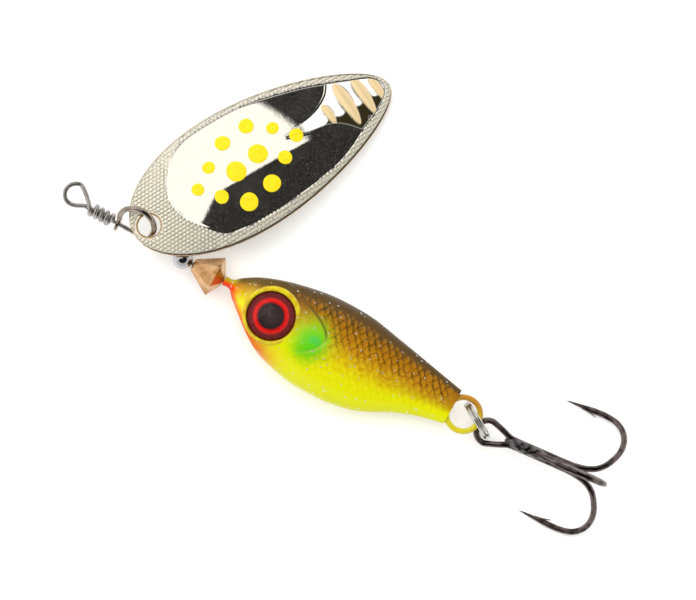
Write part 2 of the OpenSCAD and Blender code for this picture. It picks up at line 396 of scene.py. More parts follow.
# Copper plate, brushed along the bead's faces
m = Nodes("brushed_copper", Metallic=1.0)
at = m.where()
hair = m.noise(at, 2600, 3, 0.7, stretch=(0.25, 3, 3))
cloud = m.noise(at, 700, 4)
m.set(Base_Color=m.mix(m.band(cloud, 0.35, 0.7), m.mix(hair, "e6be92", "c99a68"), "a5713c"),
      Roughness=m.scale_add(hair, 0.22, 0.2), Normal=m.bump(hair, 0.35, 0.02))
copper = m.material

# Pale gold plate: "relief" is (how much in the scaled border, how near the rim, how deep in a groove),
# "fan" is (cream leaf, white gap, black gap) of the fishtail; the fan's cream, white and black are painted reflections
# and painted shade
m = Nodes("gold_plate")
at = m.where()
border, edge, groove = m.split(m.value("relief"))
leaf_painted_reflection, white, dark = m.split(m.value("fan"))
orange = m.noise(at, 1500, 3)
speck = m.noise(at, 6500, 3, 0.7)
tarnish = m.band(m.noise(at, 2600, 4, 0.7), 0.55, 0.75)
plate = m.mix(m.scaled(orange, 0.0, 0.5), "f8f5ec", "f2ead4")
plate = m.mix(m.mul(tarnish, 0.35), plate, "cdb98a")
plate = m.mix(m.mul(border, 0.8), plate, "dcd6c0")
# cream on the fan's leaves, white in its upper gaps and black in its lower gaps: painted reflections and painted shade
plate = m.mix(leaf_painted_reflection, plate, "e2c898")
plate = m.mix(white, plate, "fdfbf4")
plate = m.mix(dark, plate, "2e2818")
plate = m.mix(edge, plate, "b8945f")
# how far the plate is from a mirror: the scaled border, the fan, and a faint haze over the field
flat = m.math("MAXIMUM", m.mul(leaf_painted_reflection, 0.75), m.math("MAXIMUM", white, dark))
flat = m.math("MAXIMUM", m.mul(border, 0.5), flat)
haze = m.scale_add(m.band(m.noise(at, 6000, 2, 0.6), 0.56, 0.66), 0.07,
                   m.scale_add(m.band(m.noise(at, 260, 3), 0.4, 0.7), 0.010, 0.004))
flat = m.math("MAXIMUM", flat, haze)
# the grooves darkened toward 2f2a1a are painted shade
m.set(Base_Color=m.mix(m.mul(groove, 0.92), plate, "2f2a1a"),
      Metallic=m.flip(flat),
      Roughness=m.scale_add(m.math("MAXIMUM", border, leaf_painted_reflection), 0.26, m.mul(speck, 0.05)),
      Normal=m.bump(m.plus(m.mul(orange, 0.5), m.mul(speck, 0.12)), 0.16, 0.02))
gold = m.material

# Paint of the dots
m = Nodes("yellow_enamel", Coat_Weight=0.08, Coat_Roughness=0.25, IOR=1.45, Specular_IOR_Level=0.25)
at = m.where()
wave = m.noise(at, 1400, 3)
grit = m.noise(at, 9000, 2)
m.set(Base_Color=m.mix(m.band(wave, 0.3, 0.75), "f0d81a", "e6cb12"),
      Roughness=m.scale_add(grit, 0.2, 0.35), Normal=m.bump(wave, 0.25, 0.03))
enamel = m.material


def fish_paint():
    """The sprayed and netted fish pattern. "fish" is (along, across, share of the way from belly to back)."""
    m = Nodes("fish_paint", Coat_Weight=0.3, Coat_Roughness=0.08, Coat_IOR=1.45, IOR=1.4, Specular_IOR_Level=0.2)
    at = m.where()
    x, y, up = m.split(m.value("fish"))
    soft = m.noise(at, 320, 3)
    cloud = m.noise(at, 900, 4)
    wobble = m.scale_add(cloud, 0.10, -0.05)
    level = m.plus(up, wobble)
    # sprayed bands from the belly to the back
    base = m.ramp(level, [(0.0, "e8ee00"), (0.08, "ecf400"), (0.30, "ecf200"), (0.46, "e0c808"), (0.60, "c48e0e"),
                          (0.76, "9a6a10"), (0.88, "5e4310"), (1.0, "4c3810")])
    # toward the tail the flank turns orange brown
    tail = m.mul(m.band(x, 38.0, 52.0), m.mul(m.band(level, 0.22, 0.5), m.until(level, 0.78, 0.9)))
    base = m.mix(m.mul(tail, 0.75), base, "a87414")

    def spot(cx, cy, rx, ry, inner, outer):
        """A sprayed oval with a soft edge."""
        d = m.length(m.math("DIVIDE", m.math("SUBTRACT", x, cx), rx), m.math("DIVIDE", m.math("SUBTRACT", y, cy), ry))
        d = m.plus(d, m.scale_add(soft, 0.5, -0.25))
        return m.until(d, inner, outer)

    # green behind the eye, bluish at its middle
    base = m.mix(m.mul(spot(31.6, -1.4, 5.2, 4.6, 0.2, 1.0), 0.75), base, "9be01a")
    base = m.mix(m.mul(spot(31.9, -1.9, 3.2, 3.6, 0.2, 1.0), 0.9), base, "4fd21e")
    base = m.mix(m.mul(spot(32.2, -1.2, 1.3, 0.9, 0.1, 1.0), 0.6), base, "34c878")
    # the head's top is olive, its front edge orange to red
    head = m.until(x, 19.0, 29.0)
    base = m.mix(m.mul(head, m.mul(m.band(level, 0.74, 0.9), 0.45)), base, "6b5c10")
    # a pale spot on the head in front of the eye is a painted highlight
    base = m.mix(m.mul(spot(21.8, 0.0, 2.8, 2.2, 0.1, 1.1), 0.6), base, "dcc436")
    base = m.mix(m.mul(m.until(level, 0.03, 0.30), m.until(x, 24.5, 31.5)), base, "f6a21a")
    base = m.mix(m.mul(m.until(level, 0.0, 0.17), m.until(x, 23.5, 29.5)), base, "f46a1c")
    base = m.mix(m.mul(m.until(x, 18.6, 20.4), m.until(level, 0.35, 0.75)), base, "ff4a16")
    crest = m.mul(m.until(x, 18.3, 19.4), m.band(level, 0.5, 0.8))
    base = m.mix(m.mul(crest, 0.85), base, "cdbe1c")
    # scale net: "scale" is (line strength, shade across a scale, region)
    line, shade, region = m.split(m.value("scale"))
    rough_line = m.mul(line, m.band(m.noise(at, 1700, 3), 0.28, 0.55))
    glow = m.mul(m.mul(shade, region), 0.5)
    base = m.mix(glow, base, m.mix(m.band(level, 0.3, 0.75), "f6e83a", "c98c18"))
    brush = m.band(m.noise(at, 1500, 4, 0.6, stretch=(0.55, 1.6, 1)), 0.48, 0.72)
    flank = m.mul(m.band(level, 0.22, 0.5), m.until(level, 0.8, 0.92))
    flank = m.mul(flank, region)
    base = m.mix(m.mul(m.mul(brush, flank), 0.7), base, "a8650a")
    ink = m.mix(m.band(level, 0.38, 0.66), "b8800a", "2e230a")
    base = m.mix(m.mul(rough_line, 0.92), base, ink)
    # gill edge: "gill" is (dark above, pale below): painted shade above the groove's middle and a painted highlight
    # below it
    above, below, _ = m.split(m.value("gill"))
    base = m.mix(m.mul(above, 0.85), base, "40340e")
    base = m.mix(m.mul(below, 0.6), base, "d8f070")
    # the whole coat is a little deeper than the swatches above
    base = m.mix(1.0, base, (0.84, 0.80, 0.5, 1), "MULTIPLY")
    # silver glitter in the coat
    cell = m.new("TexVoronoi")
    m.put(cell.inputs["Vector"], at)
    cell.inputs["Scale"].default_value = 1050
    fleck = m.math("LESS_THAN", cell.outputs["Distance"], 0.115)
    tint = m.mix(0.35, "e9ecf2", cell.outputs["Color"])
    m.set(Base_Color=m.mix(fleck, base, tint), Metallic=m.mul(fleck, 0.6),
          Roughness=m.scale_add(cloud, 0.15, 0.28), Normal=m.bump(cloud, 0.08, 0.03))
    return m.material


paint = fish_paint()

# The rim moulded round the eye
m = Nodes("rim_paint", Coat_Weight=0.4, Coat_Roughness=0.08, IOR=1.4, Specular_IOR_Level=0.3)
at = m.where()
cloud = m.noise(at, 900, 3)
m.set(Base_Color=m.mix(m.band(cloud, 0.35, 0.65), "d2c418", "c49e12"), Roughness=m.scaled(cloud, 0.25, 0.4),
      Normal=m.bump(cloud, 0.1, 0.03))
rim_paint = m.material

# Painted hanger loop: yellow below, orange brown above, with small dark flecks of wear here and there
m = Nodes("loop_paint", Coat_Weight=0.8, Coat_Roughness=0.1, IOR=1.45)
at = m.where()
_, y, _ = m.split(at)
mid = float(sum(c[1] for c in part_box("tail_loop")) / 2)
cloud = m.noise(at, 1300, 4)
rise = m.mul(m.math("SUBTRACT", y, mid), 260.0)
rise = m.plus(rise, m.scale_add(cloud, 0.8, -0.1))
tone = m.mix(m.band(rise, 0.1, 0.9), "cfc206", "b07a10")
m.set(Base_Color=m.mix(m.band(m.noise(at, 5200, 3), 0.62, 0.7), tone, "6a4a12"),
      Roughness=m.scaled(cloud, 0.25, 0.45), Normal=m.bump(cloud, 0.2, 0.03))
loop_paint = m.material


PRINT_R = 3.5


def eye_foil_material(name, centre):
    """A printed eye: black pupil, bright red ring, dark red border."""
    m = Nodes(name, IOR=1.4, Specular_IOR_Level=0.1)
    at = m.where()
    x, y, _ = m.split(at)
    d = m.length(m.math("SUBTRACT", x, centre[0]), m.math("SUBTRACT", y, centre[1]))
    d = m.math("DIVIDE", d, PRINT_R * MM)
    cloud = m.noise(at, 1500, 4)
    d = m.plus(d, m.scale_add(cloud, 0.03, -0.015))
    inks = m.ramp(d, [(0.0, "3a3a3e"), (0.49, "232326"), (0.52, "c00808"), (0.60, "ff1408"), (0.68, "e00c08"),
                      (0.75, "6a0508"), (0.88, "7c080c"), (1.0, "200306")])
    m.set(Base_Color=m.mix(m.scaled(cloud, 0.0, 0.25), inks, "3a0408"), Roughness=m.scaled(cloud, 0.2, 0.4))
    return m.material


# Clear dome, tinted a little red
m = Nodes("eye_dome", Transmission_Weight=1.0, IOR=1.28)
at = m.where()
cloud = m.noise(at, 900, 2)
m.set(Base_Color=m.mix(cloud, (1.0, 0.80, 0.78, 1), (1.0, 0.70, 0.68, 1)), Roughness=m.scaled(cloud, 0.0, 0.03))
dome = m.material

# ---------------------------------------------------------------- shaft wire

WIRE_R = 0.32
BENT_R = 0.34
WIRE_START, WIRE_END = -4.5, 35.5
WRAP_START, WRAP_PITCH, WRAP_R, WRAP_TURNS = -4.1, 0.86, 0.73, 4
LINE_EYE, LINE_EYE_R = np.array([-6.95, 0.75, 0]), 1.5
eye = [[WIRE_START - 0.2, 0, 0], [WIRE_START - 0.7, -0.1, 0]]
around = np.radians(np.arange(-70, -281, -35))
eye += [LINE_EYE + LINE_EYE_R * np.array([math.cos(a), math.sin(a), 0]) for a in around]
eye += [[LINE_EYE[0] + 1.95, 0.9, 0.45], [WRAP_START - 0.3, 0.2, WRAP_R]]
turns = np.radians(np.arange(0, WRAP_TURNS * 360 + 1, 10))
wraps = np.stack([WRAP_START + WRAP_PITCH * turns / (2 * math.pi),
                  -WRAP_R * np.sin(turns), WRAP_R * np.cos(turns)], 1)
run = np.linspace(WIRE_END, WIRE_START + 0.3, 60)
wire = np.concatenate([np.stack([run, 0 * run, 0 * run], 1), curve(eye, 12), wraps])
radii = np.where(np.arange(len(wire)) < len(run), WIRE_R, BENT_R)
piece("shaft_wire_drawn", tube(wire, radii, ends=(0.3, 0.25)), steel, "lure", ["shaft_wire"])

# ---------------------------------------------------------------- clevis

BORE_R, CLEVIS_R, BOW_R, BOW_H, BOW_LEAN, SPLAY = 0.4, 0.41, 2.6, 1.8, 46, 8
EAR_R, EAR_T = 1.05, 0.45
c8, s8, t8 = (f(math.radians(SPLAY)) for f in (math.cos, math.sin, math.tan))
EAR_REACH = BOW_R * c8 - (BOW_H - BOW_R * s8) * t8
angles = np.radians(np.linspace(-SPLAY, 180 + SPLAY, 60))
bow = np.stack([BOW_X + BOW_R * np.cos(angles), 0 * angles, BOW_H + BOW_R * np.sin(angles)], 1)
LEG = np.array([0.72, 1.05])
legs = [np.stack([BOW_X + side * (EAR_REACH + LEG * t8), 0 * LEG, LEG], 1) for side in (1, -1)]
path = np.concatenate([legs[0], bow, legs[1][::-1]])
# the wire is hammered flat toward the ears
flat = 1 - step(path[:, 2], 0.7, 1.9)
bent = tube(path, CLEVIS_R + 0.26 * flat, CLEVIS_R - 0.19 * flat, sides=28, first=(0, 1, 0), ends=(0, 0))
ear_profile = rounded([(-EAR_T / 2, BORE_R), (-EAR_T / 2, EAR_R), (EAR_T / 2, EAR_R), (EAR_T / 2, BORE_R)], 0.12)
ears = []
for side in (-1, 1):
    v, f = revolve(ear_profile, 64)
    ears.append((v + [BOW_X + side * EAR_REACH, 0, 0], f))
v, f = join(bent, *ears)
piece("clevis_bent", (v @ turn("x", -BOW_LEAN).T, f), nickel, "clevis", ["clevis"])

# ---------------------------------------------------------------- blade

BLADE_L, BLADE_W, BLADE_T = 42.0, 18.5, 0.5
LONG_R, CROSS_R, CROWN = 150.0, 40.0, 20.0
HOLE_R, HOLE_AT = 1.6, 2.4
HOLE_PLACE, YAW, PITCH, ROLL = np.array([4.3, 1.8, 1.5]), 59.6, 7.5, 8
BLADE_TURN = turn("z", YAW) @ turn("y", PITCH) @ turn("x", -ROLL)
CELL_S, CELL_V = 0.62, 0.5
# Edge of the smooth field inside the scaled border
FIELD = curve([(6.7, 1.6), (6.8, -0.3), (7.7, -2.7), (10.2, -5.8), (11.9, -6.8), (16.3, -7.35), (22.3, -7.15),
               (28.7, -6.3), (32.2, -5.25), (35.2, -3.8), (38.7, -2.3), (40.7, -0.8), (41.15, 0.5), (40.0, 2.1),
               (37.2, 3.3), (34.4, 4.45), (30.2, 6.0), (22.6, 7.85), (14.7, 8.1), (10.9, 7.2), (8.6, 5.0),
               (7.4, 3.4)], 6, closed=True)
# The fishtail fan's two edges, and its leaves: (place along the blade, half width, lower end, upper end)
FAN_TOP = curve([(25.0, 0.95), (28.8, 1.35), (30.6, 1.75), (32.4, 2.6), (33.6, 3.6), (34.6, 5.2)], 6)
FAN_BOTTOM = curve([(25.0, 0.75), (27.9, -0.25), (31.3, -0.85), (33.0, -1.7), (34.6, -3.3), (35.6, -4.8)], 6)
LEAVES = [(32.1, 0.6, -1.4, 2.1), (35.15, 0.92, -3.0, 3.9), (37.85, 0.82, -2.8, 3.4), (40.05, 0.62, -1.9, 2.2)]


def blade_half(t):
    """Half the blade's width at a share of its length."""
    return BLADE_W * np.sqrt(np.maximum(t * (1 - t), 0)) * (1 + 0.38 * (0.42 - t) - 0.2 * (0.42 - t) ** 2)


def relief(s, v):
    """Stamped height over the sheet at each place, and the values of "relief" and "fan" there."""
    p = np.stack([s, v], 1)
    d, _ = line_distance(p, FIELD, closed=True)
    d = np.where(inside(p, FIELD), d, -d)
    t = np.clip(s / BLADE_L, 1e-4, 1 - 1e-4)
    rim = np.minimum(blade_half(t) - np.abs(v), np.minimum(s, BLADE_L - s) * 1.6)
    hole = np.hypot(s - HOLE_AT, v) - HOLE_R
    border = step(-d, 0.05, 0.3) * step(rim, 0.25, 0.45) * step(hole, 0.35, 0.6)
    row = np.floor(v / CELL_V)
    fx = (s / CELL_S + 0.5 * (row % 2)) % 1 - 0.5
    fy = v / CELL_V % 1 - 0.5
    lobe = np.clip(1 - (np.abs(fx * 2.05) ** 3.2 + np.abs(fy * 2.05) ** 3.2), 0, 1) ** 0.4
    h = border * (-0.05 + 0.09 * lobe)
    # dark in the hollows between the border's lobes: painted shade
    corner = step(np.abs(fx), 0.30, 0.46) * step(np.abs(fy), 0.22, 0.45)
    groove = border * (1 - step(lobe, 0.0, 0.55)) * (0.5 + 0.5 * corner)
    # a dark line just inside the rim: painted shade
    groove = np.maximum(groove, 0.7 * np.exp(-((rim - 0.3) / 0.08) ** 2) * step(hole, 0.5, 0.8))
    # a ditch round the field
    ditch = np.exp(-((d - 0.02) / 0.13) ** 2)
    h -= (0.015 + 0.035 * step(s, 10, 14) - 0.03 * step(v, 2, 4) * step(s, 10, 14)) * ditch
    # the ditch is darkened, most along its upper side: painted shade
    ditch_painted_shade = 0.10 + 0.9 * step(v, 2, 4.5) * (0.5 + 0.5 * step(np.abs(fx), 0.1, 0.3))
    groove = np.maximum(groove, ditch * step(s, 9, 12) * ditch_painted_shade)
    # fishtail fan: a smooth stem, then raised leaves side by side
    top, left = line_distance(p, FAN_TOP)
    low, right = line_distance(p, FAN_BOTTOM)
    ok = (s > 25.0) & (d > 0)
    edge = np.minimum(top, low)
    fan = np.where(ok & (~left | (s > 34.6)) & (right | (s > 35.6)), np.minimum(edge, d), -edge)
    body = step(fan, 0.0, 0.22) * step(d, 0.02, 0.2)
    rays = step(s, 30.2, 31.2)
    leaf, gap = np.zeros_like(s), np.zeros_like(s)
    for at, wide, low_v, high_v in LEAVES:
        q = np.clip((v - (low_v + high_v) / 2) / ((high_v - low_v) / 2), -1, 1)
        u = np.abs(s - at + 0.10 * q - 0.12 * (1 - q * q)) / (wide * np.sqrt(1 - q * q) * (1 + 0.22 * q) + 1e-3)
        leaf = np.maximum(leaf, np.sqrt(np.clip(1 - u * u, 0, 1)))
        gap = np.maximum(gap, np.exp(-((u - 1.10) / (0.13 / wide)) ** 2) * (np.abs(q) < 0.97))
    h += body * (0.10 + rays * (0.30 * leaf - 0.06)) + 0.03 * np.exp(-((fan + 0.1) / 0.12) ** 2) * ok
    # dark lines in the gaps between the leaves and round the fan's edge: painted shade
    groove = np.maximum(groove, body * rays * gap * (0.55 + 0.4 * np.sin(s * 1.7 + v)))
    groove = np.maximum(groove, 0.6 * np.exp(-(fan / 0.09) ** 2) * ok)
    # cream on the leaves, black in the lower gaps, white on the stem and in the upper gaps: painted reflections and
    # painted shade
    leaf_painted_reflection = body * rays * step(leaf, 0.05, 0.3)
    lower = 1 - step(v + 0.25 * np.sin(2.1 * s), -0.5, -0.25)
    black_gap_painted_shade = body * rays * (1 - step(leaf, 0.0, 0.1)) * lower * (1 - step(np.hypot(s - 37.0, v + 2.9), 0.4, 0.3))
    white_gap_painted_highlight = body * step(s, 27.2, 28.5) * (1 - step(leaf, 0.0, 0.1)) * (1 - lower * rays)
    near = np.maximum(1 - step(rim, 0.05, 0.22), 1 - step(hole, 0.05, 0.5))
    return h, np.stack([border, near, groove], 1), np.stack([leaf_painted_reflection, white_gap_painted_highlight, black_gap_painted_shade], 1)


def on_blade(s, v, h):
    """From a place on the sheet and a height over it to the lure's frame."""
    ring = LONG_R - CROSS_R + np.sqrt(CROSS_R**2 - v**2)
    z = np.sqrt(ring**2 - (s - CROWN) ** 2) - LONG_R
    slope_v = v * ring / np.sqrt(CROSS_R**2 - v**2) / (z + LONG_R)
    n = unit(np.stack([(s - CROWN) / (z + LONG_R), slope_v, np.ones_like(s)], 1))
    p = np.stack([s, v, z], 1) + n * np.asarray(h)[:, None]
    p += [-HOLE_AT, 0, (CROWN - HOLE_AT) ** 2 / 2 / LONG_R + BLADE_T / 2]
    return p @ BLADE_TURN.T + HOLE_PLACE


def blade_shape():
    """Two sheets, each a polar patch round the hole and a grid behind it, closed by rounded edges."""
    inset, first, split = 0.16, 0.03, math.acos(1 - 2 * 0.17)
    rows, wide, nose, steps = 360, 141, 110, 66
    inner_cols = wide - 2
    a_tail = np.linspace(split, math.pi - first, rows)
    a_nose = np.linspace(split, first, nose)
    w = np.linspace(-1, 1, wide)

    def place(a, side, cut):
        t = (1 - np.cos(a)) / 2
        return np.stack([cut + (BLADE_L - 2 * cut) * t, side * blade_half(t) * (1 - 2 * cut / BLADE_W)], -1)

    def nose_line(cut):
        """The polar patch's outer points: round the nose from the +v side, then across the split."""
        across = place(np.full(inner_cols, split), w[1:-1], cut)
        return np.concatenate([place(a_nose, 1, cut), place(a_nose[::-1], -1, cut), across])

    def hole_line(r):
        return [HOLE_AT, 0] + r * unit(nose_line(0) - [HOLE_AT, 0])

    outer, inner = nose_line(inset), hole_line(HOLE_R + 0.13)
    polar = np.concatenate([inner + (outer - inner) * k / (steps - 1) for k in range(steps)])
    around = len(outer)
    tail = np.concatenate([place(np.full(wide, a), w, inset) for a in a_tail])
    # the tail grid's first row is the split line, whose points the nose line already has
    last = (steps - 1) * around
    count = len(polar)
    remap = np.arange(count + len(tail))
    remap[count] = last + 2 * nose - 1
    remap[count + wide - 1] = last
    remap[count + 1:count + wide - 1] = last + 2 * nose + np.arange(inner_cols)
    flat = np.concatenate([polar, tail])
    faces = [f[::-1] for f in grid_faces(steps, around, True)] + grid_faces(rows, wide, False, count)
    faces = remap[np.array(faces)]
    keep, packed = np.unique(faces, return_inverse=True)
    faces, flat = packed.reshape(-1, 4), flat[keep]
    where = {int(k): i for i, k in enumerate(keep)}
    h, stamped, fan = relief(flat[:, 0], flat[:, 1])
    top = on_blade(flat[:, 0], flat[:, 1], h)
    under = on_blade(flat[:, 0], flat[:, 1], h * 0.85 - BLADE_T)
    n = len(flat)
    v = [top, under]
    f = faces.tolist() + [x[::-1] for x in (faces + n).tolist()]
    # outer edge: nose from -v to +v, then the tail's +v side out and back along its -v side
    ids = [last + k for k in range(2 * nose - 1, -1, -1)]
    ids += [count + r * wide + wide - 1 for r in range(1, rows)]
    ids += [count + (rows - 1) * wide + k for k in range(inner_cols, 0, -1)]
    ids += [count + r * wide for r in range(rows - 1, 0, -1)]
    full = np.concatenate([nose_line(0)[2 * nose - 1::-1], place(a_tail[1:], 1, 0),
                           place(np.full(inner_cols, a_tail[-1]), w[-2:0:-1], 0), place(a_tail[:0:-1], -1, 0)])
    edges = [(np.array([where[k] for k in ids]), full)]
    edges.append((np.array([where[k] for k in range(around)])[::-1], hole_line(HOLE_R)[::-1]))
    size = 2 * n
    info, fans = [stamped] * 2, [fan] * 2
    for loop, out in edges:
        base, length = flat[loop], len(loop)
        rings = [loop]
        for a in np.radians([55, 25, 0, -25, -55]):
            q = base + (out - base) * math.cos(a)
            v.append(on_blade(q[:, 0], q[:, 1], h[loop] * 0.9 - BLADE_T / 2 + BLADE_T / 2 * math.sin(a)))
            info.append(np.tile([0, 1, 0], (length, 1)))
            fans.append(np.zeros((length, 3)))
            rings.append(size + np.arange(length))
            size += length
        rings.append(loop + n)
        for one, two in zip(rings[:-1], rings[1:]):
            f += np.stack([one, two, np.roll(two, -1), np.roll(one, -1)], 1).tolist()
    return (np.concatenate(v), f), {"relief": np.concatenate(info), "fan": np.concatenate(fans)}


shape, info = blade_shape()
piece("blade_stamped", shape, gold, "blade", ["blade"], info)

# Enamel dots: (along, across, radius) on the sheet, and their section as (share of the radius, height)
DOTS = [(10.8, 0.7, 0.9), (13.1, -1.9, 1.0), (13.7, 2.6, 0.9), (16.0, -4.5, 1.3), (16.7, 0.1, 1.45), (17.2, 4.6, 1.1),
        (20.1, -3.9, 1.25), (20.6, 0.7, 1.4), (21.3, 5.0, 1.1), (23.6, -1.7, 1.0), (24.3, 2.8, 0.9), (26.6, 0.2, 1.0)]
DOT_SECTION = [(0.02, 0.075), (0.35, 0.074), (0.65, 0.07), (0.85, 0.06), (0.94, 0.045), (0.985, 0.025), (1.0, 0.0),
               (0.98, -0.03), (0.5, -0.03), (0.02, -0.03)]
a = spokes(56)
parts = []
for s0, v0, r0 in DOTS:
    r = r0 * (1 + 0.018 * np.sin(2 * a + rng.uniform(0, 6)) + 0.012 * np.sin(3 * a + rng.uniform(0, 6)))
    p = []
    for share, height in DOT_SECTION:
        s, v = s0 + share * r * np.cos(a), v0 + share * r * np.sin(a)
        p.append(on_blade(s, v, relief(s, v)[0] + height))
    parts.append((np.concatenate(p), grid_faces(len(p), len(a), True) + end_faces(len(p), len(a))))
piece("enamel_dots", join(*parts), enamel, "blade", ["blade_dots"])

# ---------------------------------------------------------------- ball and cone bead

BALL_X, BALL_R = 10.55, 1.45
reach = math.sqrt(BALL_R**2 - BORE_R**2)
mouth = math.asin(BORE_R / BALL_R) + 0.04
profile = [(-BALL_R * math.cos(q), BALL_R * math.sin(q)) for q in np.linspace(mouth, math.pi - mouth, 60)]
profile += [(reach - 0.1, BORE_R), (0, BORE_R), (-reach + 0.1, BORE_R)]
v, f = revolve(profile)
piece("ball_polished", (v + [BALL_X, 0, 0], f), chrome, "ball", ["bearing_ball"])

LIP_X, LIP_R, RIDGE_X, RIDGE_R, BACK_X, BACK_R = 12.15, 0.85, 15.75, 3.0, 16.95, 0.75


def hex_bead():
    """Six brushed faces to a ridge, their corners eased, with a thin lip in front and a bore."""
    sides = 6 * 14
    a = spokes(sides)
    sixth = math.pi / 6
    hexagon = math.cos(sixth) / np.cos(sixth - np.abs((a + sixth) % (2 * sixth) - sixth))

    def corner(r, soft):
        """A hexagon's radius at each angle, its corners eased by a share soft."""
        return r * (hexagon * (1 - soft) + soft * 0.955)

    # rows of (place along the shaft, radius, softness)
    rows = [(LIP_X + 0.12, BORE_R, 1), (LIP_X, BORE_R + 0.06, 1), (LIP_X, 0.72, 1), (LIP_X + 0.07, 0.84, 0.8)]
    for t in np.linspace(0.06, 0.955, 22):
        rows.append((LIP_X + (RIDGE_X - LIP_X) * t, LIP_R + (RIDGE_R - LIP_R) * t, 0.10 + 0.5 * (1 - t) ** 6))
    rows += [(RIDGE_X - 0.05, 2.955, 0.12), (RIDGE_X + 0.03, 2.97, 0.12), (RIDGE_X + 0.09, 2.88, 0.12)]
    for t in np.linspace(0.1, 0.95, 12):
        rows.append((RIDGE_X + (BACK_X - RIDGE_X) * t, RIDGE_R + (BACK_R - RIDGE_R) * t, 0.10 + 0.5 * t**6))
    rows += [(BACK_X, 0.68, 1), (BACK_X, BORE_R + 0.06, 1), (BACK_X - 0.12, BORE_R, 1)]
    v = []
    for x, r, soft in rows:
        q = corner(r, soft) if soft < 1 else np.full(sides, r)
        v.append(np.stack([np.full(sides, x), q * np.cos(a), q * np.sin(a)], 1))
    return np.concatenate(v), grid_faces(len(rows), sides, True) + seam_faces(len(rows), sides)


piece("cone_bead_cut", hex_bead(), copper, "cone", ["cone_bead"], sharp=24)

# ---------------------------------------------------------------- fish body

# (place along, back, belly, half thickness)
STATIONS = [(17.1, 0.80, -0.60, 0.66), (18.2, 0.85, -0.60, 0.70), (19.2, 1.65, -1.60, 1.25), (21.2, 2.85, -3.30, 2.25),
            (23.6, 3.80, -5.20, 3.10), (26.4, 4.60, -6.75, 3.55), (30.7, 5.40, -7.90, 3.70), (34.5, 5.60, -8.15, 3.55),
            (38.3, 5.40, -7.95, 3.10), (42.3, 4.65, -7.00, 2.50), (46.5, 3.85, -4.95, 1.95), (50.0, 3.15, -3.65, 1.50),
            (53.6, 2.45, -2.85, 1.20)]
EYE, EYE_R, SOCKET, RIM_W, RIM_TOP = np.array([25.25, -1.1]), 3.45, 2.95, 0.42, 3.5
GILL = curve([(27.9, 2.9), (30.4, 2.1), (32.3, 1.05), (33.3, 0.0), (33.45, -0.9), (32.9, -2.1), (31.6, -3.3),
              (29.9, -4.0)], 6)


